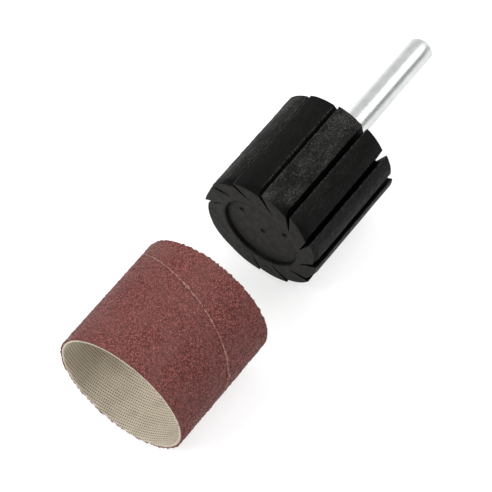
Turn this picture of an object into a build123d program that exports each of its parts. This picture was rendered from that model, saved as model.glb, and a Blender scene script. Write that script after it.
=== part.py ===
from build123d import *

import os
from math import asin, cos, degrees, pi, radians, sin, sqrt

# A rubber sanding drum moulded on a steel shank, with its spiral-wound abrasive sleeve pulled
# off the front. The tool axis lies along Y: the shank points to +Y and the drum's front face
# looks to -Y. The origin is on the axis, in the drum's back face, and +Z is up. Angles are
# measured from +X towards +Z, as seen from the front. Every length is in millimetres.

# ---- Shank: plated steel pin that the tool's chuck grips ----
shank_diameter = 6.0
shank_exposed = 34.5        # from the drum's back face to the tip
shank_tip_chamfer = 0.8
root_step = 0.4             # the shank is this much thinner, all round, inside the rubber
knurl_grooves = 18          # straight knurl that keys the rubber to the shank
knurl_depth = 0.3
knurl_margin = 3.0          # plain shank between the knurl and the drum's back face or the disc

# ---- Anchor disc: steel washer riveted on the shank's inner end, inside the rubber ----
anchor_diameter = 17.0
anchor_thickness = 2.0
anchor_cover = 2.6          # rubber between the recess floor and the disc
spigot_shoulder = 0.6       # the shank steps down by this much, all round, to enter the disc
rivet_overhang = 1.4        # the riveted head stands this far out from the spigot, all round
rivet_height = 0.8
flow_hole_count = 3         # holes that the rubber fills, so that the disc can't turn in it
flow_hole_edge = 1.2        # steel left between a hole and the rivet head, and at the rim
flow_hole_start = 90.0

# ---- Rubber drum ----
drum_diameter = 30.1        # over the fin tips
drum_length = 29.0
fin_count = 12
fin_drop = 0.5              # how far each fin's trailing edge sits under the next fin's tip
front_drop = 1.15           # the same at the front face, as a lead-in for the sleeve
fin_crown = 0.12            # how far a fin's middle stands proud of the arc's straight slope
slot_slant = 13.0           # degrees by which a slot's root trails its mouth
slot_land = 1.2             # rubber between the recess and the slot roots
slit_width = 0.3            # of each slot at its root
slot_mouth = 1.35           # of each slot at the drum's surface
front_mouth = 0.4           # the same at the front face, where the slots are only slits
front_taper = 1.3           # length over which the slots close and the lead-in falls away
rim_round = 0.3
recess_diameter = 19.4      # shallow round recess in the front face
recess_depth = 1.0
recess_wall_draft = 0.45    # how much smaller the recess is at its floor, all round
mark_angles = (30, 150)     # holes left by the pins that held the disc in the mould
mark_setback = 1.9          # from the disc's rim to the middle of a mark
mark_diameter = 1.1
gate_diameter = 1.4         # dimple of the moulding gate, on the axis
gate_depth = 0.25

# ---- Abrasive sleeve: two strips of cloth, wound in a spiral and glued ----
sleeve_length = 30.0
sleeve_clearance = 0.25     # between the fin tips and the lining, all round
lining_thickness = 0.4
lining_width = 20.0         # of the flat strip, before winding
lining_seam = 10.0          # angle where this strip's seam meets the sleeve's front edge
abrasive_thickness = 0.55
abrasive_width = 25.0
abrasive_seam = 143.0
seam_gap = 0.2              # between neighbouring turns of a strip
sleeve_gap = 19.5           # free space between the drum and the sleeve at rest

# ---- Sizes that follow from those above ----
shank_radius = shank_diameter / 2
root_radius = shank_radius - root_step
spigot_radius = root_radius - spigot_shoulder
rivet_radius = spigot_radius + rivet_overhang
anchor_radius = anchor_diameter / 2
flow_hole_circle = anchor_radius + rivet_radius
flow_hole_diameter = anchor_radius - rivet_radius - 2 * flow_hole_edge
mark_circle = anchor_diameter - 2 * mark_setback
tip_radius = drum_diameter / 2
recess_radius = recess_diameter / 2
slot_root_radius = recess_radius + slot_land
fin_pitch = 360 / fin_count
anchor_front = drum_length - recess_depth - anchor_cover
anchor_back = anchor_front - anchor_thickness
lining_inner_radius = tip_radius + sleeve_clearance
abrasive_inner_radius = lining_inner_radius + lining_thickness
sleeve_back = drum_length + sleeve_gap

# Plane.XZ faces the front, so a distance along its normal is a distance towards -Y.
FRONT = Plane.XZ


def polar(radius, angle):
    """The sketch point at this radius and angle."""
    return (radius * cos(radians(angle)), radius * sin(radians(angle)))


def at(distance):
    """The plane square to the axis, this far in front of the drum's back face."""
    return FRONT.offset(distance)


def rod(radius, start, end):
    """A round bar on the axis between two distances in front of the drum's back face."""
    return extrude(at(start) * Circle(radius), end - start)


def pin(diameter, circle, angle, start, end):
    """A round bar parallel to the axis, on a circle of this diameter."""
    x, z = polar(circle / 2, angle)
    return extrude(at(start) * Pos(x, z) * Circle(diameter / 2), end - start)


def make_shank():
    bar = rod(shank_radius, -shank_exposed, 0)
    bar = chamfer(bar.faces().sort_by(Axis.Y)[-1].edges(), shank_tip_chamfer)
    root = rod(root_radius, 0, anchor_back)
    spigot = rod(spigot_radius, anchor_back, anchor_front)
    head = rod(rivet_radius, anchor_front, anchor_front + rivet_height)
    head = fillet(head.faces().sort_by(Axis.Y)[0].edges(), rivet_height / 2)
    groove_side = knurl_depth * sqrt(2)
    groove = Pos(root_radius, 0) * Rot(0, 0, 45) * Rectangle(groove_side, groove_side)
    groove = extrude(at(knurl_margin) * groove, anchor_back - 2 * knurl_margin)
    grooves = [
        groove.rotate(Axis.Y, -360 * n / knurl_grooves) for n in range(knurl_grooves)
    ]
    return bar + root + spigot + head - grooves


def make_anchor_disc():
    disc = rod(anchor_radius, anchor_back, anchor_front)
    disc -= rod(spigot_radius, anchor_back, anchor_front)
    for n in range(flow_hole_count):
        angle = flow_hole_start + 360 * n / flow_hole_count
        disc -= pin(flow_hole_diameter, flow_hole_circle, angle, anchor_back, anchor_front)
    return disc


def drum_section(mouth, drop):
    """The drum's outline with slots this wide at the surface. A fin rises by the drop from its
    trailing edge, beside the slot it follows, to a sharp tip that overhangs the next slot."""
    mouth_angle = degrees(mouth / tip_radius)
    half_slit = degrees(slit_width / 2 / slot_root_radius)
    outline = []
    for n in range(fin_count):
        slot = n * fin_pitch
        trailing = polar(tip_radius - drop, slot + mouth_angle)
        middle = polar(tip_radius - drop / 2 + fin_crown, slot + (fin_pitch + mouth_angle) / 2)
        tip = polar(tip_radius, slot + fin_pitch)
        root = slot + fin_pitch - slot_slant
        near = polar(slot_root_radius, root - half_slit)
        far = polar(slot_root_radius, root + half_slit)
        after = polar(tip_radius - drop, slot + fin_pitch + mouth_angle)
        outline += [ThreePointArc(trailing, middle, tip), Polyline(tip, near, far, after)]
    return make_face(outline)


def drum_envelope():
    """A cylinder through the fin tips with rounded rims."""
    body = rod(tip_radius, 0, drum_length)
    ends = body.faces().filter_by(GeomType.PLANE)
    return fillet(ends.edges(), rim_round)


def make_rubber_drum(shank, anchor_disc):
    taper_start = drum_length - front_taper
    slotted_section = drum_section(slot_mouth, fin_drop)
    front_section = drum_section(front_mouth, front_drop)
    slotted = extrude(at(0) * slotted_section, taper_start)
    front = loft([at(taper_start) * slotted_section, at(drum_length) * front_section], ruled=True)
    drum = (slotted + front) & drum_envelope()
    floor = drum_length - recess_depth
    drum -= loft(
        [
            at(floor) * Circle(recess_radius - recess_wall_draft),
            at(drum_length) * Circle(recess_radius),
        ]
    )
    for angle in mark_angles:
        drum -= pin(mark_diameter, mark_circle, angle, anchor_front, floor)
    drum -= rod(gate_diameter / 2, floor - gate_depth, floor)
    return drum - shank - anchor_disc


def wound_strip(inner_radius, thickness, width, seam_angle):
    """One strip wound into a tube, edge to edge. Its seam is a slit along a helix that meets
    the sleeve's front edge at seam_angle and climbs towards the drum as the angle grows."""
    front, back = sleeve_back + sleeve_length, sleeve_back
    tube = rod(inner_radius + thickness, back, front) - rod(inner_radius, back, front)
    middle_radius = inner_radius + thickness / 2
    winding_angle = asin(width / (2 * pi * middle_radius))
    pitch = width / cos(winding_angle)
    overrun = pitch / 4
    path = Helix(pitch, sleeve_length + 2 * overrun, middle_radius, lefthand=True)
    section = Plane(path @ 0, x_dir=(1, 0, 0), z_dir=path % 0)
    slit = sweep(section * Rectangle(3 * thickness, seam_gap), path, is_frenet=True)
    turned = seam_angle + 360 * (sleeve_length + overrun) / pitch
    return tube - at(back - overrun) * Rot(0, 0, turned) * slit


def main():
    shank = make_shank()
    anchor_disc = make_anchor_disc()
    nodes = {
        "shank": shank,
        "anchor_disc": anchor_disc,
        "rubber_drum": make_rubber_drum(shank, anchor_disc),
        "lining_strip": wound_strip(
            lining_inner_radius, lining_thickness, lining_width, lining_seam
        ),
        "abrasive_strip": wound_strip(
            abrasive_inner_radius, abrasive_thickness, abrasive_width, abrasive_seam
        ),
    }
    os.makedirs("parts", exist_ok=True)
    for name, shape in nodes.items():
        shape.label = name
        export_step(shape, f"parts/{name}.step")


main()
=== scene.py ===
import bmesh
import bpy
import random
from math import asin, atan2, cos, degrees, exp, hypot, pi, radians, sin, tan, tau
from mathutils import Matrix, Vector, noise


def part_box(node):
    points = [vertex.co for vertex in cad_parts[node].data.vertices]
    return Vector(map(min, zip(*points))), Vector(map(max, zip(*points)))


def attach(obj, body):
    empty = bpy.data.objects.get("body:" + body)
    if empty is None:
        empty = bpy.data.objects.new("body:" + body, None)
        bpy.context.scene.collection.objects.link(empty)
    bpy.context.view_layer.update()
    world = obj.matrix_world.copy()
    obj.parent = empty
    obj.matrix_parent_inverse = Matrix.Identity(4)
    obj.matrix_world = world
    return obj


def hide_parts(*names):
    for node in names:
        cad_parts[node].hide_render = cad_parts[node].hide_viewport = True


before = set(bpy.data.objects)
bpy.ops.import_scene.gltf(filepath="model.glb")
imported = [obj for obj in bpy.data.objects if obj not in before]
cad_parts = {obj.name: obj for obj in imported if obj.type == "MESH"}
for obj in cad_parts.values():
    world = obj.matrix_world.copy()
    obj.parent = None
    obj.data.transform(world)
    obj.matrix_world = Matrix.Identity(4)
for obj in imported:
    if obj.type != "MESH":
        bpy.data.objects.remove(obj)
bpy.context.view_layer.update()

# A rubber sanding drum on a steel shank, with its abrasive sleeve slid off the front. The tool
# axis lies along Y, the shank points to +Y, and angles run from +X towards +Z. The scene is in
# metres, but the sizes below are in millimetres and are turned into metres by MM.
MM = 0.001

# ---- Places and sizes read from the frame, in millimetres ----
drum_low, drum_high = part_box("rubber_drum")
abrasive_low, abrasive_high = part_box("abrasive_strip")
SHANK_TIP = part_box("shank")[1].y / MM
DRUM_RADIUS = drum_high.x / MM
DRUM_BACK = drum_high.y / MM
DRUM_FRONT = drum_low.y / MM
SLEEVE_BACK = abrasive_high.y / MM
SLEEVE_FRONT = abrasive_low.y / MM
SLEEVE_RADIUS = abrasive_high.x / MM
# Where the two strips of the sleeve are glued together.
GLUE_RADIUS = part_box("lining_strip")[1].x / MM

# ---- Shank, and the disc that anchors it in the rubber ----
SHANK_RADIUS = 3.0
# How far the tip's chamfer lies inside the shank's side and behind its end, ring by ring.
TIP_CHAMFER = ((1.0, 0), (0.82, 0.05), (0.12, 0.7), (0, 0.95))
PLAIN_END = 4.0             # from the tip, and from the drum, to the plain shank's next ring
ROOT_RADIUS = 2.6           # the thinner shank inside the rubber
ROOT_DEPTH = 0.6            # how far inside the drum it starts
ANCHOR_RADIUS = 8.5
ANCHOR_BACK = -23.4
ANCHOR_FRONT = -25.4
SPIGOT_RADIUS = 2.0
RIVET_RADIUS = 3.4
RIVET_HEIGHT = 0.8
KNURL_MARGIN = 3.0          # plain shank at each end of the knurl
KNURL_BACK = DRUM_BACK - KNURL_MARGIN
KNURL_FRONT = ANCHOR_BACK + KNURL_MARGIN
KNURL_DEPTH = 0.3
KNURL_RUNOUT = 0.2          # length over which the knurl's grooves run out
KNURL_EVERY = 4             # one groove to this many steps round the shank
SHANK_STEPS = 72
SHARP_ANGLE = 50

# ---- Rubber drum ----
FIN_COUNT = 12
FIN_DROP = 0.5              # how far a fin's trailing edge sits under the next fin's tip
FRONT_DROP = 1.15           # the same at the front face
FIN_CROWN = 0.12
SLOT_SLANT = 13.0
SLOT_ROOT_RADIUS = 10.9
SLIT_WIDTH = 0.3
SLOT_MOUTH = 1.35
FRONT_MOUTH = 0.4
FRONT_TAPER = 1.3
RECESS_RADIUS = 9.7
RECESS_FLOOR_RADIUS = 9.25
RECESS_DEPTH = 1.0
# Radius and distance behind the front face of the rings from the recess's mouth to its floor.
RECESS_RINGS = (
    (RECESS_RADIUS - 0.12, 0.1),
    (RECESS_FLOOR_RADIUS + 0.08, RECESS_DEPTH - 0.15),
    (RECESS_FLOOR_RADIUS, RECESS_DEPTH),
    (RECESS_FLOOR_RADIUS - 0.3, RECESS_DEPTH),
)
MARK_RADIUS = 0.68
MARK_CIRCLE_RADIUS = 6.6
MARK_ANGLES = (30, 150)
MARK_DEPTH = 1.3
GATE_RADIUS = 0.7           # moulding gate, a dimple on the axis
GATE_DEPTH = 0.08
HOLE_RING = 0.18
HOLE_STEPS = 24
RIM_MARGIN = 0.05           # the recess's wall starts this far inside its mouth
RECESS_WALL_SHADE = 0.7     # how dark the recess's wall is, as a share of a slot's
BACK_RING_RADIUS = 6.5
BACK_LIP = 0.35             # rounded edge where the rubber meets the shank
BACK_LIP_DEPTH = 0.25
SHANK_FIT = 0.02            # gap that keeps the rubber's skin off the shank's

# ---- Cloth strips ----
LINING_THICKNESS = 0.4
LINING_WIDTH = 20.0
LINING_SEAM = 10.0
ABRASIVE_THICKNESS = 0.55
CLOTH_SHARE = 0.2           # of that thickness, the bare cloth that shows at a cut edge
ABRASIVE_WIDTH = 25.0
ABRASIVE_SEAM = 143.0
SEAM_GAP = 0.2
GRIT_STEP = 0.3
# Lumps of noise to a millimetre, and how much of each goes into the grit's height.
COARSE_GRAINS = 3.1
SMALL_GRAINS = 6.3
EDGE_GRAINS = 2.4
CLUMPS = 0.7
SMALL_SHARE = 0.7
GRAIN_SHARE = 0.9
CLUMP_SHARE = 0.25
GRIT_HEIGHT = 0.24
GRIT_SINK = 0.13
GRIT_PROUD = 0.1            # no grain stands out further than this
EDGE_WANDER = 0.3           # how far the grains overhang and fall short of the cut edges
LINING_STEP = 1.0
WEAVE_ALONG = 0.49          # spacing of the lining's threads along the strip
WEAVE_ACROSS = 0.63
FRAY_COUNT = 160
FRAY_SEED = 4
FRAY_RADIUS = 0.035
FRAY_SIDES = 4
FRAY_STEPS = 3
FRAY_ROOT = 0.1             # how far inside the sleeve's end a loose thread starts
FRAY_LENGTH = (0.15, 0.55)
FRAY_INSIDE = 0.3           # the threads start between this far inside the glue line
FRAY_OUTSIDE = 0.25         # and this far outside it
FRAY_LEAN = 0.6             # how strongly the threads lean round the sleeve at each step
FRAY_CURL = 0.5
BEAD_HALF = 0.18            # half the width of the glue line
BEAD_SINK = 0.16
BEAD_ROOT = 0.3             # how deep the glue reaches into the seam
BEAD_SWELL = 0.9            # how much the line's width changes along it, as a share
BEAD_RISE = 0.12            # how much its height changes along it
BEAD_LOW = 0.04             # how far it lies below the sleeve's outer radius
BEAD_GRAIN = 0.05
BLOB_WIDTH = 9              # how much wider a swelling is for each millimetre of its height
# Angle along the seam, spread in degrees and height of each swelling of the glue line.
BEAD_BLOBS = (
    (445, 1.8, 0.16),
    (384, 3.2, 0.16),
    (366, 2.0, 0.34),
    (300, 2.0, 0.08),
    (200, 1.5, 0.07),
)

# ---- Floor, light and camera ----
FLOOR_GAP = 0.05
FLOOR_SIZE = 3.0
FLOOR_GLOW = 0.66
FLOOR_TONES = (0.44, 0.46)
# Each lamp's place, the place that it faces, its two sizes (all in metres) and its brightness.
LAMPS = {
    "overhead": ((0.32, 0.33, 0.62), (0.32, 0.33, 0), (0.6, 0.84), 1.75),
    "front": ((-0.28, -0.6, 0.66), (0, -0.06, 0), (0.36, 0.36), 11.0),
}
# Along each axis, the room changes between these two directions, from this share of its
# brightness to that one.
ROOM_CHANGES = {"X": (0.45, 0.72, 0.9, 0.42), "Y": (-0.6, 0.2, 0.2, 1.0)}
CAMERA_AZIMUTH = 36.332
CAMERA_ELEVATION = 57.768
CAMERA_DISTANCE = 509.4
CAMERA_TARGET = (-0.65, -33.44, 0)
CAMERA_LENS = 171.35
CAMERA_SENSOR = 36


def polar(radius, angle, y):
    """The point at this radius, angle in degrees and place on the axis, in metres."""
    turn = radians(angle)
    return Vector((radius * cos(turn), y, radius * sin(turn))) * MM


def blend(a, b, share):
    return a + (b - a) * share


def finished(name, body, bm, materials):
    """A finished piece that rides on a CAD body."""
    mesh = bpy.data.meshes.new(name)
    bm.to_mesh(mesh)
    bm.free()
    piece = bpy.data.objects.new(name, mesh)
    bpy.context.scene.collection.objects.link(piece)
    for material in materials:
        mesh.materials.append(material)
    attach(piece, body)
    return piece


# ---- Rubber drum ----
# One fin is laid out flat and then bent round the axis. Its places are the shares across the
# fin from its trailing edge, the shares out from the slot root to the surface, and the
# distances back from the front face.
ACROSS = (0, 0.03, 0.08, 0.17, 0.28, 0.39, 0.5, 0.61, 0.72, 0.83, 0.92, 0.97, 1)
OUTWARD = (-2, -1, 0, 0.2, 0.42, 0.64, 0.82, 0.93, 0.98, 1)
FRONT_STEPS = (0, 0.06, 0.2, 0.5, 0.9, 1.3, 1.55, 1.9)
BACK_STEPS = (0.7, 0.35, 0.12, 0)
RING_STEP = 0.72
# Shares kept on the points of the drum for its material: dust with painted sheen on a fin, nearness
# to an edge that gets a painted highlight, the front face, painted lighter for the light it
# catches, painted shade in the corner behind it, and painted shade on the walls of slots and holes.
RUBBER_LAYERS = ("dust_and_sheen", "edge", "face", "painted_rim_shade", "painted_wall_shade")
# How far behind the front face the painted shade reaches.
PAINTED_RIM_SHADE_LENGTH = 4.0
JOIN_DROP = 0.15            # the hub's last ring lies this far under the slot roots
TIP_WEAR = 0.256            # most that wear takes off a fin's tip
TIP_STRAY = 1.1             # most that a worn tip strays sideways, in degrees
SKIN_WAVE = 0.05
JUST_BEHIND = 0.01          # a point this far behind a face no longer counts as on it
WELD = 0.002                # points closer than this are one
# How much each fin is lightened: partly real dust, partly the overhead lamp's reflection painted
# onto the fins that face it.
FIN_DUST_AND_SHEEN = (0.35, 0.25, 1.1, 0.12, 0.9, 0.5, 0.3, 0.55, 0.25, 0.6, 0.4, 0.5)
# How far each fin's front corner stands open: the slots at 210 and 240 degrees are pressed shut.
FIN_OPENING = (1, 1, 1, 1, 1, 1, 0.8, -0.12, -0.05, 0.6, 0.8, 1)


def depths():
    """Distances back from the front face of the rings of points along a fin."""
    length = DRUM_BACK - DRUM_FRONT
    first, last = FRONT_STEPS[-1], length - BACK_STEPS[0]
    count = round((last - first) / RING_STEP)
    middle = [blend(first, last, n / count) for n in range(1, count)]
    return [*FRONT_STEPS, *middle, *(length - step for step in BACK_STEPS)]


def flat_fin():
    """One fin laid flat. X counts the places across, Z counts the places outward and Y is the
    distance back from the front face."""
    bm = bmesh.new()
    columns, rows = len(ACROSS) - 1, len(OUTWARD) - 1
    bmesh.ops.create_grid(bm, x_segments=columns, y_segments=rows, size=0.5)
    for vert in bm.verts:
        vert.co = ((vert.co.x + 0.5) * columns, 0, (vert.co.y + 0.5) * rows)
    front = bm.faces[:]
    walls = [edge for edge in bm.edges if edge.is_boundary and is_wall(edge, columns, rows)]
    back = bmesh.ops.duplicate(bm, geom=front)["geom"]
    steps = depths()
    for item in back:
        if isinstance(item, bmesh.types.BMVert):
            item.co.y = steps[-1]
    for after in steps[1:]:
        walls, verts = grown(bm, walls)
        for vert in verts:
            vert.co.y = after
    bmesh.ops.remove_doubles(bm, verts=bm.verts, dist=WELD)
    return bm


def is_wall(edge, columns, rows):
    """True for the edges of the flat fin that bound a slot or the outer surface."""
    a, b = (vert.co for vert in edge.verts)
    top = min(a.z, b.z) > rows - 0.5
    side = min(a.z, b.z) > 0.5 and (max(a.x, b.x) < 0.5 or min(a.x, b.x) > columns - 0.5)
    return top or side


def fin_point(fin, across, outward, depth):
    """The radius and angle of a place in the flat fin, once it is bent round the drum."""
    lead = min(depth / FRONT_TAPER, 1)
    opening = FIN_OPENING[fin]
    mouth = degrees(blend(FRONT_MOUTH * opening, SLOT_MOUTH, lead) / DRUM_RADIUS)
    drop = blend(FRONT_DROP * opening, FIN_DROP, lead)
    next_opening = FIN_OPENING[(fin + 1) % FIN_COUNT]
    half_slit = degrees(SLIT_WIDTH / 2 / SLOT_ROOT_RADIUS)
    near_slit = half_slit * blend(opening, 1, lead)
    far_slit = half_slit * blend(next_opening, 1, lead)
    pitch = 360 / FIN_COUNT
    start = fin * pitch
    root = start - SLOT_SLANT
    if outward < 0:
        radius = RECESS_RADIUS if outward == -2 else SLOT_ROOT_RADIUS - JOIN_DROP
        return radius, root + across * pitch
    near = slot_wall(root + near_slit, DRUM_RADIUS - drop, start + mouth, outward)
    far = slot_wall(root + pitch - far_slit, DRUM_RADIUS, start + pitch, outward)
    crown = 4 * FIN_CROWN * across * (1 - across) * outward
    return blend(near[0], far[0], across) + crown, blend(near[1], far[1], across)


def slot_wall(root_angle, radius, angle, outward):
    """The radius and angle of a place on a slot's straight wall."""
    root = polar(SLOT_ROOT_RADIUS, root_angle, 0) / MM
    place = root.lerp(polar(radius, angle, 0) / MM, outward)
    turn = degrees(atan2(place.z, place.x))
    return hypot(place.x, place.z), turn + 360 * round((angle - turn) / 360)


def bent_fin(fin):
    """One fin in its place on the drum, with small faults of moulding and wear."""
    bm = flat_fin()
    layers = bm.verts.layers.float
    dust_and_sheen, edge, face, painted_rim_shade, painted_wall_shade = (layers.new(name) for name in RUBBER_LAYERS)
    for vert in bm.verts:
        across = ACROSS[round(vert.co.x)]
        outward = OUTWARD[round(vert.co.z)]
        depth = vert.co.y
        radius, angle = fin_point(fin, across, outward, depth)
        seed = Vector((depth * 1.3, fin * 17.0, across * 3))
        worn = max(0, outward) ** 4 * (across ** 6 + 0.4 * (1 - across) ** 10)
        radius -= TIP_WEAR * worn * abs(noise.noise(seed))
        angle += TIP_STRAY * worn * noise.noise(seed + Vector((0, 5, 0)))
        wave = Vector((across * 2, depth * 0.16, fin * 9.0))
        radius += SKIN_WAVE * max(0, outward) * noise.noise(wave)
        vert.co = polar(radius, angle, DRUM_FRONT + depth)
        vert[dust_and_sheen] = FIN_DUST_AND_SHEEN[fin]
        # Nearness to a fin's outer edges, where the material paints a highlight.
        vert[edge] = max(0, outward) ** 4 * max(across ** 12, 1 - across * 20)
        behind = depth > JUST_BEHIND
        # The front face, which the material paints lighter than the fins for the light it catches.
        vert[face] = float(not behind)
        # Painted shade just behind the front face, and on the walls below the outer surface.
        vert[painted_rim_shade] = float(behind) * max(0, 1 - depth / PAINTED_RIM_SHADE_LENGTH) * (1 - across)
        vert[painted_wall_shade] = float(behind and outward < OUTWARD[-2])
    return bm


def join(target, source):
    """Adds one bmesh to another and frees it."""
    mesh = bpy.data.meshes.new("passing")
    source.to_mesh(mesh)
    source.free()
    target.from_mesh(mesh)
    bpy.data.meshes.remove(mesh)


def rim(bm, radius, y):
    """The open edges that lie on this circle."""
    found = []
    for edge in bm.edges:
        middle = (edge.verts[0].co + edge.verts[1].co) / 2
        near = abs(hypot(middle.x, middle.z) / MM - radius) < 0.2
        if edge.is_boundary and near and abs(middle.y / MM - y) < 0.1:
            found.append(edge)
    return found


def drawn_in(bm, edges, radius, y):
    """Extrudes a ring of open edges to a new radius and place, and gives its new edges."""
    ring, verts = grown(bm, edges)
    for vert in verts:
        flat = Vector((vert.co.x, 0, vert.co.z)).normalized() * radius * MM
        vert.co = (flat.x, y * MM, flat.z)
    return ring


def sharpen(bm, edges):
    """Keeps these edges crisp under subdivision. The crease layer is already there, because
    a new layer would make the edges that were gathered before it invalid."""
    crease = bm.edges.layers.float["crease_edge"]
    for edge in edges:
        edge[crease] = 1.0


def sunk_circle(bm, radius, centre, y, depth):
    """A blind round hole with a flat ring round its mouth, and the outer edges of the ring."""
    turn = Matrix.Rotation(pi / 2, 4, "X")
    place = Matrix.Translation((centre.x, y * MM, centre.z)) @ turn
    outer = radius + HOLE_RING
    made = bmesh.ops.create_circle(bm, segments=HOLE_STEPS, radius=outer * MM, matrix=place)
    ring = edges_of(made["verts"])
    mouth, verts = grown(bm, ring)
    bmesh.ops.scale(
        bm,
        vec=Vector((1, 1, 1)) * radius / outer,
        verts=verts,
        space=Matrix.Translation((-centre.x, -y * MM, -centre.z)),
    )
    sharpen(bm, mouth)
    bottom, verts = grown(bm, mouth)
    bmesh.ops.translate(bm, verts=verts, vec=(0, depth * MM, 0))
    bmesh.ops.contextual_create(bm, geom=bottom)
    return ring


def edges_of(verts):
    """The edges at these points, each once and always in the same order."""
    return list(dict.fromkeys(edge for vert in verts for edge in vert.link_edges))


def grown(bm, edges):
    """Extrudes a ring of edges in place. Gives the new ring's edges and points."""
    made = bmesh.ops.extrude_edge_only(bm, edges=edges)["geom"]
    verts = [item for item in made if isinstance(item, bmesh.types.BMVert)]
    moved = set(verts)
    ring = [
        item
        for item in made
        if isinstance(item, bmesh.types.BMEdge) and set(item.verts) <= moved
    ]
    return ring, verts


def close_front(bm):
    """The recess in the drum's front face, with the pin marks and the gate in its floor."""
    floor_y = DRUM_FRONT + RECESS_DEPTH
    wall = rim(bm, RECESS_RADIUS, DRUM_FRONT)
    for radius, depth in RECESS_RINGS:
        wall = drawn_in(bm, wall, radius, DRUM_FRONT + depth)
    holes = [
        sunk_circle(bm, MARK_RADIUS, polar(MARK_CIRCLE_RADIUS, angle, 0), floor_y, MARK_DEPTH)
        for angle in MARK_ANGLES
    ]
    holes.append(sunk_circle(bm, GATE_RADIUS, Vector(), floor_y, GATE_DEPTH))
    bmesh.ops.triangle_fill(bm, use_beauty=True, edges=wall + sum(holes, []))
    face, painted_wall_shade = (bm.verts.layers.float[name] for name in ("face", "painted_wall_shade"))
    for vert in bm.verts:
        radius = hypot(vert.co.x, vert.co.z) / MM
        # The recess floor counts as front face; its wall gets painted shade.
        if vert.co.y / MM < floor_y + JUST_BEHIND and radius < RECESS_RADIUS - RIM_MARGIN:
            vert[face] = float(radius < RECESS_FLOOR_RADIUS + JUST_BEHIND)
            vert[painted_wall_shade] = RECESS_WALL_SHADE * (1 - vert[face])


def close_back(bm):
    """The drum's back face and the rubber that lies against the shank and the disc."""
    bore = rim(bm, RECESS_RADIUS, DRUM_BACK)
    for radius, y in (
        (BACK_RING_RADIUS, DRUM_BACK),
        (SHANK_RADIUS + BACK_LIP, DRUM_BACK),
        (SHANK_RADIUS + SHANK_FIT, DRUM_BACK - BACK_LIP_DEPTH),
        (SHANK_RADIUS + SHANK_FIT, DRUM_BACK - ROOT_DEPTH),
        (ROOT_RADIUS, DRUM_BACK - ROOT_DEPTH),
        (ROOT_RADIUS, ANCHOR_BACK),
        (ANCHOR_RADIUS, ANCHOR_BACK),
        (ANCHOR_RADIUS, ANCHOR_FRONT),
        (RIVET_RADIUS, ANCHOR_FRONT),
        (RIVET_RADIUS, ANCHOR_FRONT - RIVET_HEIGHT),
    ):
        bore = drawn_in(bm, bore, radius, y)
    bmesh.ops.contextual_create(bm, geom=bore)


def make_drum(material):
    bm = bmesh.new()
    bm.edges.layers.float.new("crease_edge")
    for fin in range(FIN_COUNT):
        join(bm, bent_fin(fin))
    bmesh.ops.remove_doubles(bm, verts=bm.verts, dist=WELD * MM)
    close_front(bm)
    close_back(bm)
    bmesh.ops.recalc_face_normals(bm, faces=bm.faces)
    drum = finished("drum", "mandrel", bm, [material])
    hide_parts("rubber_drum")
    smooth(drum, levels=1)


def shank_profile():
    """Radius and place on the axis of the shank's rings, from its tip to its riveted end."""
    return (
        (0, SHANK_TIP),
        *((SHANK_RADIUS - inside, SHANK_TIP - behind) for inside, behind in TIP_CHAMFER),
        (SHANK_RADIUS, SHANK_TIP - PLAIN_END),
        (SHANK_RADIUS, DRUM_BACK + PLAIN_END),
        (SHANK_RADIUS, DRUM_BACK - ROOT_DEPTH),
        (ROOT_RADIUS, DRUM_BACK - ROOT_DEPTH),
        (ROOT_RADIUS, KNURL_BACK),
        (ROOT_RADIUS, KNURL_BACK - KNURL_RUNOUT),
        (ROOT_RADIUS, KNURL_FRONT + KNURL_RUNOUT),
        (ROOT_RADIUS, KNURL_FRONT),
        (ROOT_RADIUS, ANCHOR_BACK),
        (SPIGOT_RADIUS, ANCHOR_BACK),
        (SPIGOT_RADIUS, ANCHOR_FRONT),
        (RIVET_RADIUS, ANCHOR_FRONT),
        (RIVET_RADIUS, ANCHOR_FRONT - RIVET_HEIGHT),
        (0, ANCHOR_FRONT - RIVET_HEIGHT),
    )


def cut_knurl(bm):
    """Presses straight grooves into the part of the shank that the rubber holds."""
    low, high = KNURL_FRONT + KNURL_RUNOUT / 2, KNURL_BACK - KNURL_RUNOUT / 2
    for vert in bm.verts:
        column = round(atan2(vert.co.z, vert.co.x) / tau * SHANK_STEPS)
        if low < vert.co.y / MM < high and column % KNURL_EVERY == 0:
            vert.co.x *= 1 - KNURL_DEPTH / ROOT_RADIUS
            vert.co.z *= 1 - KNURL_DEPTH / ROOT_RADIUS


def make_shank(material):
    """The shank, turned from one profile, with the knurl that keys it into the rubber."""
    bm = bmesh.new()
    points = [bm.verts.new((radius * MM, y * MM, 0)) for radius, y in shank_profile()]
    lines = [bm.edges.new(pair) for pair in zip(points, points[1:])]
    bmesh.ops.spin(
        bm,
        geom=points + lines,
        axis=(0, 1, 0),
        cent=(0, 0, 0),
        angle=tau,
        steps=SHANK_STEPS,
        use_merge=True,
    )
    bmesh.ops.remove_doubles(bm, verts=bm.verts, dist=WELD / 2 * MM)
    cut_knurl(bm)
    bmesh.ops.recalc_face_normals(bm, faces=bm.faces)
    shank = finished("steel_shank", "mandrel", bm, [material])
    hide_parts("shank")
    smooth(shank)
    shank.data.set_sharp_from_angle(angle=radians(SHARP_ANGLE))


def smooth(piece, levels=0):
    """Smooth shading, and one subdivision where levels is 1."""
    for face in piece.data.polygons:
        face.use_smooth = True
    if levels:
        modifier = piece.modifiers.new("subdivision", "SUBSURF")
        modifier.levels = levels
        modifier.render_levels = levels


# ---- Wound cloth strips ----
def tilt_of(width, radius):
    """The angle between a wound strip and the sleeve's end, in radians."""
    return asin(width / (tau * radius))


def pitch_of(width, radius):
    """How far a strip of this width moves along the sleeve in one turn."""
    return width / cos(tilt_of(width, radius))


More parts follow.
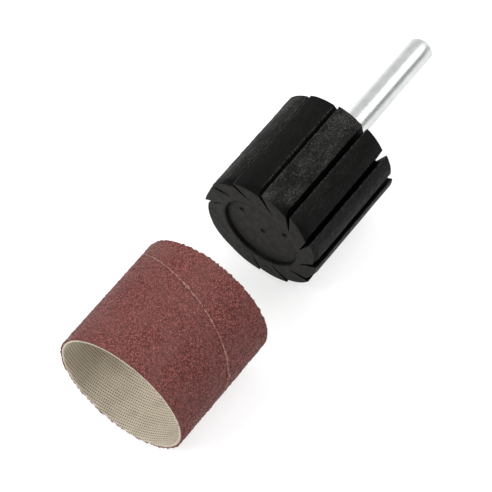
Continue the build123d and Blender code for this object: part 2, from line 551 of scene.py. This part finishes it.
def flat_strip(radius, width, seam, low, high, step):
    """A strip laid flat: X is the angle round the sleeve in degrees, Y the place on the axis in
    millimetres. It lies from low to high along the axis beside its seam, cut off at both ends
    of the sleeve."""
    pitch = pitch_of(width, radius)
    first = seam - 360 * high / pitch
    last = seam + 360 * (SLEEVE_BACK - SLEEVE_FRONT - low) / pitch
    columns = round(radians(last - first) * radius / step)
    rows = max(2, round((high - low) / step))
    bm = bmesh.new()
    bmesh.ops.create_grid(bm, x_segments=columns, y_segments=rows, size=0.5)
    for vert in bm.verts:
        angle = blend(first, last, vert.co.x + 0.5)
        across = blend(low, high, vert.co.y + 0.5)
        vert.co = (angle, SLEEVE_FRONT + pitch * (angle - seam) / 360 + across, 0)
    for end, outward in ((SLEEVE_FRONT, -1), (SLEEVE_BACK, 1)):
        bmesh.ops.bisect_plane(
            bm,
            geom=bm.verts[:] + bm.edges[:] + bm.faces[:],
            dist=1e-5,
            plane_co=(0, end, 0),
            plane_no=(0, outward, 0),
            clear_outer=True,
        )
    lay_pattern(bm, radius, tilt_of(width, radius))
    return bm


def lay_pattern(bm, radius, tilt):
    """Gives a flat strip its UV map: millimetres along the strip and across it."""
    uv = bm.loops.layers.uv.new("strip")
    for face in bm.faces:
        for loop in face.loops:
            round_place = radians(loop.vert.co.x) * radius
            axis_place = loop.vert.co.y - SLEEVE_FRONT
            loop[uv].uv = (
                round_place * cos(tilt) + axis_place * sin(tilt),
                axis_place * cos(tilt) - round_place * sin(tilt),
            )


def wrapped(bm, inner_radius, outer_radius, relief):
    """Wraps a flat strip round the sleeve and gives it its thickness. For a point of the outer
    skin, the relief takes its angle, its place on the axis and whether it is on a cut edge, and
    gives how far it stands proud and how far it is moved along the axis, in millimetres."""
    skin = bmesh.ops.extrude_face_region(bm, geom=bm.faces[:])["geom"]
    outer = {item for item in skin if isinstance(item, bmesh.types.BMVert)}
    walls = [face for face in bm.faces if 0 < sum(vert in outer for vert in face.verts) < 4]
    for face in walls:
        face.material_index = 1
    ends = {vert for face in walls for vert in face.verts}
    for vert in bm.verts:
        angle, y = vert.co.x, vert.co.y
        radius = inner_radius
        if vert in outer:
            rise, slip = relief(angle, y, vert in ends)
            radius = outer_radius + rise
            y += slip
        vert.co = polar(radius, angle, y)
    bmesh.ops.recalc_face_normals(bm, faces=bm.faces)


def grit_relief(angle, y, at_edge):
    """Grains that stand out of the resin by different heights and overhang the cut edges."""
    place = polar(SLEEVE_RADIUS, angle, y) / MM
    grain = noise.noise(place * COARSE_GRAINS)
    grain += SMALL_SHARE * noise.noise(place * SMALL_GRAINS + Vector((7, 3, 1)))
    clump = noise.noise(place * CLUMPS)
    rise = GRIT_HEIGHT * (grain * GRAIN_SHARE + clump * CLUMP_SHARE) - GRIT_SINK
    wander = noise.noise(place * EDGE_GRAINS + Vector((0, 11, 0)))
    slip = wander * EDGE_WANDER if at_edge else 0
    return min(rise, GRIT_PROUD), slip


def make_abrasive_strip(grit, cut_edge):
    middle = GLUE_RADIUS + ABRASIVE_THICKNESS / 2
    high = pitch_of(ABRASIVE_WIDTH, middle) - SEAM_GAP / 2
    bm = flat_strip(middle, ABRASIVE_WIDTH, ABRASIVE_SEAM, SEAM_GAP / 2, high, GRIT_STEP)
    wrapped(bm, GLUE_RADIUS, SLEEVE_RADIUS, grit_relief)
    strip = finished("abrasive", "sleeve", bm, [grit, cut_edge])
    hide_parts("abrasive_strip")
    smooth(strip)


def make_lining(weave, cut_edge):
    inner = GLUE_RADIUS - LINING_THICKNESS
    middle = inner + LINING_THICKNESS / 2
    high = pitch_of(LINING_WIDTH, middle) - SEAM_GAP / 2
    bm = flat_strip(middle, LINING_WIDTH, LINING_SEAM, SEAM_GAP / 2, high, LINING_STEP)
    wrapped(bm, inner, GLUE_RADIUS, lambda angle, y, at_edge: (0, 0))
    strip = finished("lining", "sleeve", bm, [weave, cut_edge])
    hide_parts("lining_strip")
    smooth(strip)


def make_glue_bead(glue):
    """The line of glue that squeezed out of the abrasive strip's seam, with a few swellings."""
    middle = GLUE_RADIUS + ABRASIVE_THICKNESS / 2
    pitch = pitch_of(ABRASIVE_WIDTH, middle)
    bm = flat_strip(middle, ABRASIVE_WIDTH, ABRASIVE_SEAM, -BEAD_HALF, BEAD_HALF, BEAD_HALF / 2)

    def relief(angle, y, at_edge):
        line = SLEEVE_FRONT + pitch * (angle - ABRASIVE_SEAM) / 360
        place = polar(SLEEVE_RADIUS, angle, line) / MM
        swell = 1 + BEAD_SWELL * noise.noise(place * 0.9)
        rise = BEAD_RISE * noise.noise(place * 0.5) - BEAD_LOW
        for blob_angle, spread, height in BEAD_BLOBS:
            hill = exp(-(((angle - blob_angle) / spread) ** 2))
            swell += height * BLOB_WIDTH * hill
            rise += height * hill
        grain = BEAD_GRAIN * noise.noise(polar(SLEEVE_RADIUS, angle, y) / MM * 2.2)
        return (-BEAD_SINK if at_edge else rise + grain), (y - line) * (swell - 1)

    wrapped(bm, SLEEVE_RADIUS - BEAD_ROOT, SLEEVE_RADIUS, relief)
    bead = finished("seam_glue", "sleeve", bm, [glue, glue])
    smooth(bead)


def make_frayed_threads(thread):
    """Cut ends of cloth fibre that stick out along both rims of the sleeve."""
    draw = random.Random(FRAY_SEED)
    bm = bmesh.new()
    for n in range(FRAY_COUNT):
        y, out = ((SLEEVE_FRONT, -1), (SLEEVE_BACK, 1))[n % 2]
        angle = draw.uniform(0, 360)
        radius = draw.uniform(GLUE_RADIUS - FRAY_INSIDE, GLUE_RADIUS + FRAY_OUTSIDE)
        length = draw.uniform(*FRAY_LENGTH)
        lean = draw.uniform(-1, 1)
        curl = draw.uniform(-FRAY_CURL, FRAY_CURL)
        turn = Matrix.Rotation(pi / 2, 4, "X")
        place = Matrix.Translation(polar(radius, angle, y - out * FRAY_ROOT)) @ turn
        made = bmesh.ops.create_circle(
            bm, segments=FRAY_SIDES, radius=FRAY_RADIUS * MM, matrix=place
        )
        ring = edges_of(made["verts"])
        around = Vector((-sin(radians(angle)), 0, cos(radians(angle))))
        outward = Vector((cos(radians(angle)), 0, sin(radians(angle))))
        for step in range(FRAY_STEPS):
            ring, verts = grown(bm, ring)
            way = Vector((0, out, 0)) + around * lean * (step + 1) * FRAY_LEAN
            way += outward * curl * step
            bmesh.ops.translate(bm, verts=verts, vec=way.normalized() * length / FRAY_STEPS * MM)
        tip = sum((vert.co for vert in verts), Vector()) / len(verts)
        bmesh.ops.pointmerge(bm, verts=verts, merge_co=tip)
    bmesh.ops.recalc_face_normals(bm, faces=bm.faces)
    threads = finished("frayed_threads", "sleeve", bm, [thread])
    smooth(threads)


# ---- Materials ----
class Finish:
    """The shader nodes of one material. Patterns are sized in millimetres."""

    def __init__(self, name, surface):
        self.material = bpy.data.materials.new(name)
        self.material.use_nodes = True
        self.tree = self.material.node_tree
        self.surface = self.tree.nodes["Principled BSDF"]
        self.fill(self.surface, surface)
        coordinates = self.node("TexCoord").outputs["Object"]
        self.place = self.scaled(coordinates, (1 / MM, 1 / MM, 1 / MM))

    def fill(self, node, sockets):
        for name, value in sockets.items():
            socket = node.inputs[name]
            if isinstance(value, bpy.types.NodeSocket):
                self.tree.links.new(value, socket)
            else:
                socket.default_value = value

    def node(self, kind, sockets=None, **settings):
        made = self.tree.nodes.new("ShaderNode" + kind)
        for name, value in settings.items():
            setattr(made, name, value)
        self.fill(made, sockets or {})
        return made

    def scaled(self, vector, scale):
        return self.node("Mapping", {"Vector": vector, "Scale": scale}).outputs["Vector"]

    def noise(self, size, detail=2.0, stretch=(1, 1, 1), at=None):
        """Noise with lumps of about this size, from 0 to 1."""
        vector = self.scaled(at or self.place, stretch)
        sockets = {"Vector": vector, "Scale": 1 / size, "Detail": detail}
        return self.node("TexNoise", sockets).outputs[0]

    def cells(self, size, output="Distance"):
        """Cells of about this size: the distance from their middles, or a colour each."""
        sockets = {"Vector": self.place, "Scale": 1 / size}
        return self.node("TexVoronoi", sockets).outputs[output]

    def band(self, value, low, high, start=0.0, end=1.0):
        """Start below low, end above high, and a smooth change between."""
        sockets = {
            "Value": value,
            "From Min": low,
            "From Max": high,
            "To Min": start,
            "To Max": end,
        }
        return self.node("MapRange", sockets, interpolation_type="SMOOTHSTEP").outputs[0]

    def math(self, operation, a, b=0.0):
        return self.node("Math", {0: a, 1: b}, operation=operation).outputs[0]

    def mixed(self, share, a, b):
        """Colour a where the share is 0, and colour b where it is 1."""
        sockets = {0: share, 6: a, 7: b}
        return self.node("Mix", sockets, data_type="RGBA").outputs[2]

    def attribute(self, name):
        return self.node("Attribute", attribute_name=name).outputs["Fac"]

    def split(self, vector):
        return self.node("SeparateXYZ", {"Vector": vector}).outputs

    def bump(self, height, depth, under=None):
        """A bump whose full height is depth millimetres, on top of another where one is given."""
        sockets = {"Height": height, "Distance": depth * MM, "Strength": 1.0}
        if under:
            sockets["Normal"] = under
        return self.node("Bump", sockets).outputs["Normal"]


def tone(red, green, blue):
    return (red, green, blue, 1.0)


def zinc_plated_steel():
    look = Finish("zinc_plated_steel", {"Metallic": 1.0})
    clouds = look.noise(2.2, detail=4)
    grain = look.noise(0.15, detail=3)
    lines = look.noise(0.12, detail=2, stretch=(1, 0.08, 1))
    dull, bright = tone(0.6, 0.615, 0.61), tone(0.66, 0.675, 0.67)
    color = look.mixed(look.band(clouds, 0.35, 0.65), dull, bright)
    rough = look.band(grain, 0.3, 0.7, 0.12, 0.2)
    normal = look.bump(grain, 0.045, look.bump(lines, 0.004))
    look.fill(look.surface, {"Base Color": color, "Roughness": rough, "Normal": normal})
    return look.material


def black_rubber():
    look = Finish("black_rubber", {"Specular IOR Level": 0.05})
    dust_and_sheen, edge, face, painted_rim_shade, painted_wall_shade = (look.attribute(name) for name in RUBBER_LAYERS)
    patches = look.noise(2.6, detail=3, stretch=(1, 0.45, 1))
    streaks = look.noise(0.7, detail=3, stretch=(1, 0.25, 1))
    specks = look.band(look.cells(0.42), 0.3, 0.12)
    chosen = look.band(look.noise(0.8, detail=1), 0.5, 0.62)
    film = look.math("MULTIPLY", dust_and_sheen, look.band(patches, 0.38, 0.72, 0.2, 1.0))
    film = look.math("MULTIPLY", film, look.band(streaks, 0.3, 0.65, 0.4, 1.0))
    speckle = look.noise(0.26, detail=2, stretch=(1, 0.7, 1))
    film = look.math("MULTIPLY", film, look.band(speckle, 0.4, 0.66, 0.2, 1.4))
    powder = look.math("MULTIPLY", look.math("MULTIPLY", specks, chosen), dust_and_sheen)
    # The film's colour: dust, and on the fins that face the lamps a painted reflection as well.
    clean, dust_and_sheen_tone = tone(0.004, 0.004, 0.0038), tone(0.045, 0.0437, 0.0415)
    color = look.mixed(film, clean, dust_and_sheen_tone)
    color = look.mixed(powder, color, tone(0.11, 0.105, 0.098))
    # Painted highlight along the fins' outer edges, broken up by noise.
    highlight_breaks = look.band(look.noise(0.5, detail=3), 0.42, 0.62)
    worn = look.math("MULTIPLY", look.band(edge, 0.3, 1.0, 0.0, 0.7), highlight_breaks)
    color = look.mixed(worn, color, tone(0.045, 0.044, 0.041))
    # The front face is painted lighter than the fins, for the light it catches; streaks vary it.
    lit_face_dark, lit_face_pale = tone(0.017, 0.0165, 0.0155), tone(0.024, 0.0235, 0.022)
    lit_face_skin = look.mixed(look.band(streaks, 0.3, 0.7), lit_face_dark, lit_face_pale)
    color = look.mixed(face, color, lit_face_skin)
    # Painted shade behind the front face and on the slot and recess walls.
    dark = look.math("MAXIMUM", look.band(painted_rim_shade, 0.1, 0.6, 0.0, 0.9), painted_wall_shade)
    color = look.mixed(dark, color, tone(0.0022, 0.0022, 0.002))
    rough = look.band(look.noise(1.3, detail=3), 0.3, 0.7, 0.45, 0.62)
    fine = look.noise(0.16, detail=3)
    normal = look.bump(fine, 0.02, look.bump(patches, 0.06))
    look.fill(look.surface, {"Base Color": color, "Roughness": rough, "Normal": normal})
    return look.material


def abrasive_grit():
    look = Finish("abrasive_grit", {"Specular IOR Level": 0.2})
    grains = look.cells(0.3)
    tints = look.node("SeparateColor", {"Color": look.cells(0.3, output="Color")}).outputs
    dark_grain, pale_grain = tone(0.165, 0.04, 0.037), tone(0.35, 0.107, 0.094)
    color = look.mixed(look.band(tints[0], 0.15, 0.9), dark_grain, pale_grain)
    pale = look.band(tints[1], 0.9, 0.99, 0.0, 0.35)
    color = look.mixed(pale, color, tone(0.36, 0.2, 0.17))
    # Painted shade in the gaps between the grains.
    grain_gap_shade = look.band(grains, 0.38, 0.58, 0.0, 0.85)
    color = look.mixed(grain_gap_shade, color, tone(0.055, 0.015, 0.013))
    clouds = look.band(look.noise(5.0, detail=3), 0.3, 0.7, 0.0, 0.3)
    color = look.mixed(clouds, color, tone(0.17, 0.075, 0.065))
    rough = look.band(tints[2], 0.0, 1.0, 0.35, 0.8)
    height = look.band(grains, 0.0, 0.6, 1.0, 0.0)
    normal = look.bump(look.noise(0.12, detail=2), 0.03, look.bump(height, 0.09))
    look.fill(look.surface, {"Base Color": color, "Roughness": rough, "Normal": normal})
    return look.material


def woven_lining():
    look = Finish("woven_lining", {"Specular IOR Level": 0.15})
    uv = look.node("UVMap", uv_map="strip").outputs["UV"]
    wobble = look.noise(1.2, detail=2, at=uv)
    along, across, _ = look.split(uv)
    along = look.math("ADD", along, look.math("MULTIPLY", wobble, 0.16))
    across = look.math("ADD", across, look.math("MULTIPLY", wobble, 0.2))
    warp = look.math("COSINE", look.math("MULTIPLY", along, tau / WEAVE_ALONG))
    weft = look.math("COSINE", look.math("MULTIPLY", across, tau / WEAVE_ACROSS))
    warp = look.band(warp, -1.0, 1.0)
    weft = look.band(weft, -1.0, 1.0)
    cover = look.math("MAXIMUM", warp, weft)
    holes = look.band(cover, 0.5, 0.12)
    fibres = look.noise(0.09, detail=3, stretch=(0.4, 1, 1), at=uv)
    dark_fibre, pale_fibre = tone(0.55, 0.485, 0.385), tone(0.75, 0.675, 0.55)
    color = look.mixed(look.band(fibres, 0.3, 0.7), dark_fibre, pale_fibre)
    stain = look.band(look.noise(3.5, detail=3), 0.4, 0.75, 0.0, 0.35)
    color = look.mixed(stain, color, tone(0.42, 0.36, 0.27))
    color = look.mixed(look.math("MULTIPLY", holes, 0.95), color, tone(0.05, 0.038, 0.028))
    height = look.math("ADD", look.math("MULTIPLY", cover, 0.8), look.math("MULTIPLY", fibres, 0.2))
    normal = look.bump(height, 0.09)
    look.fill(look.surface, {"Base Color": color, "Roughness": 0.85, "Normal": normal})
    return look.material


def cut_abrasive():
    """The abrasive strip's cut edge: pale cloth under dark grains."""
    look = Finish("cut_abrasive_cloth", {"Roughness": 0.8, "Specular IOR Level": 0.15})
    x, _, z = look.split(look.place)
    radius = look.math("SQRT", look.math("ADD", look.math("POWER", x, 2), look.math("POWER", z, 2)))
    fibres = look.noise(0.14, detail=3)
    wander = look.math("ADD", radius, look.math("MULTIPLY", fibres, 0.2))
    pale = look.band(fibres, 0.35, 0.62)
    cloth = look.mixed(pale, tone(0.3, 0.17, 0.14), tone(0.66, 0.52, 0.44))
    grains = look.mixed(pale, tone(0.07, 0.02, 0.018), tone(0.24, 0.09, 0.08))
    edge = GLUE_RADIUS + ABRASIVE_THICKNESS * CLOTH_SHARE
    color = look.mixed(look.band(wander, edge, edge + 0.12), cloth, grains)
    look.fill(look.surface, {"Base Color": color, "Normal": look.bump(fibres, 0.06)})
    return look.material


def cut_cloth(name, dark, pale):
    """The cut edge of a cloth, where short fibre ends show."""
    look = Finish(name, {"Roughness": 0.85, "Specular IOR Level": 0.15})
    fibres = look.noise(0.14, detail=3)
    color = look.mixed(look.band(fibres, 0.35, 0.62), dark, pale)
    look.fill(look.surface, {"Base Color": color, "Normal": look.bump(fibres, 0.06)})
    return look.material


def dried_glue():
    look = Finish("dried_glue", {"Specular IOR Level": 0.4})
    patches = look.noise(0.6, detail=3)
    thin_glue, thick_glue = tone(0.2, 0.075, 0.062), tone(0.4, 0.26, 0.19)
    color = look.mixed(look.band(patches, 0.45, 0.68), thin_glue, thick_glue)
    rough = look.band(patches, 0.3, 0.7, 0.4, 0.65)
    normal = look.bump(look.noise(0.25, detail=2), 0.05)
    look.fill(look.surface, {"Base Color": color, "Roughness": rough, "Normal": normal})
    return look.material


def pale_paper():
    look = Finish("pale_floor", {"Roughness": 0.9, "Specular IOR Level": 0.0})
    shade = look.band(look.noise(40, detail=2), 0.3, 0.7)
    color = look.mixed(shade, *(tone(grey, grey, grey) for grey in FLOOR_TONES))
    glow = {"Emission Color": tone(1, 1, 1), "Emission Strength": FLOOR_GLOW}
    look.fill(look.surface, {"Base Color": color, **glow})
    return look.material


def make_pieces():
    steel = zinc_plated_steel()
    disc = bpy.data.objects["anchor_disc"].data
    disc.materials.clear()
    disc.materials.append(steel)
    make_shank(steel)
    make_drum(black_rubber())
    weave = woven_lining()
    cut_lining = cut_cloth("cut_lining_cloth", tone(0.4, 0.32, 0.24), tone(0.75, 0.68, 0.58))
    make_lining(weave, cut_lining)
    make_abrasive_strip(abrasive_grit(), cut_abrasive())
    make_glue_bead(dried_glue())
    loose_fibres = cut_cloth("loose_fibres", tone(0.5, 0.4, 0.33), tone(0.75, 0.66, 0.58))
    make_frayed_threads(loose_fibres)


# ---- Floor, light and camera ----
def make_floor():
    bm = bmesh.new()
    place = Matrix.Translation((0, 0, (-SLEEVE_RADIUS - FLOOR_GAP) * MM))
    bmesh.ops.create_grid(bm, x_segments=1, y_segments=1, size=FLOOR_SIZE, matrix=place)
    mesh = bpy.data.meshes.new("floor")
    bm.to_mesh(mesh)
    bm.free()
    mesh.materials.append(pale_paper())
    floor = bpy.data.objects.new("floor", mesh)
    bpy.context.scene.collection.objects.link(floor)


def softbox(name, place, target, size, radiance):
    """A rectangular lamp that faces the target. Its power is its brightness times its area."""
    light = bpy.data.lights.new(name, "AREA")
    light.shape = "RECTANGLE"
    light.size, light.size_y = size
    light.energy = radiance * 4 * size[0] * size[1]
    lamp = bpy.data.objects.new(name, light)
    lamp.location = place
    lamp.rotation_euler = (Vector(target) - Vector(place)).to_track_quat("-Z", "Y").to_euler()
    lamp.visible_camera = False
    bpy.context.scene.collection.objects.link(lamp)


def make_surroundings():
    """A pale room that is darker on the +X side and in front."""
    world = bpy.data.worlds.new("room")
    bpy.context.scene.world = world
    world.use_nodes = True
    tree = world.node_tree
    direction = tree.nodes.new("ShaderNodeTexCoord").outputs["Generated"]
    parts = tree.nodes.new("ShaderNodeSeparateXYZ")
    product = tree.nodes.new("ShaderNodeMath")
    product.operation = "MULTIPLY"
    tree.links.new(direction, parts.inputs[0])
    for n, (axis, limits) in enumerate(ROOM_CHANGES.items()):
        change = tree.nodes.new("ShaderNodeMapRange")
        change.interpolation_type = "SMOOTHSTEP"
        tree.links.new(parts.outputs[axis], change.inputs["Value"])
        for name, value in zip(("From Min", "From Max", "To Min", "To Max"), limits):
            change.inputs[name].default_value = value
        tree.links.new(change.outputs[0], product.inputs[n])
    sky = tree.nodes["Background"]
    sky.inputs["Color"].default_value = tone(1, 1, 1)
    tree.links.new(product.outputs[0], sky.inputs["Strength"])


def make_camera():
    data = bpy.data.cameras.new("camera")
    data.lens = CAMERA_LENS
    data.sensor_width = CAMERA_SENSOR
    camera = bpy.data.objects.new("camera", data)
    turn, rise = radians(CAMERA_AZIMUTH), radians(CAMERA_ELEVATION)
    back = Vector((sin(turn) * cos(rise), -cos(turn) * cos(rise), sin(rise)))
    camera.location = Vector(CAMERA_TARGET) * MM + back * CAMERA_DISTANCE * MM
    camera.rotation_mode = "QUATERNION"
    camera.rotation_quaternion = (-back).to_track_quat("-Z", "Y")
    bpy.context.scene.collection.objects.link(camera)
    bpy.context.scene.camera = camera


make_pieces()
make_floor()
make_surroundings()
for name, settings in LAMPS.items():
    softbox(name, *settings)
make_camera()
bpy.context.scene.view_settings.view_transform = "Standard"
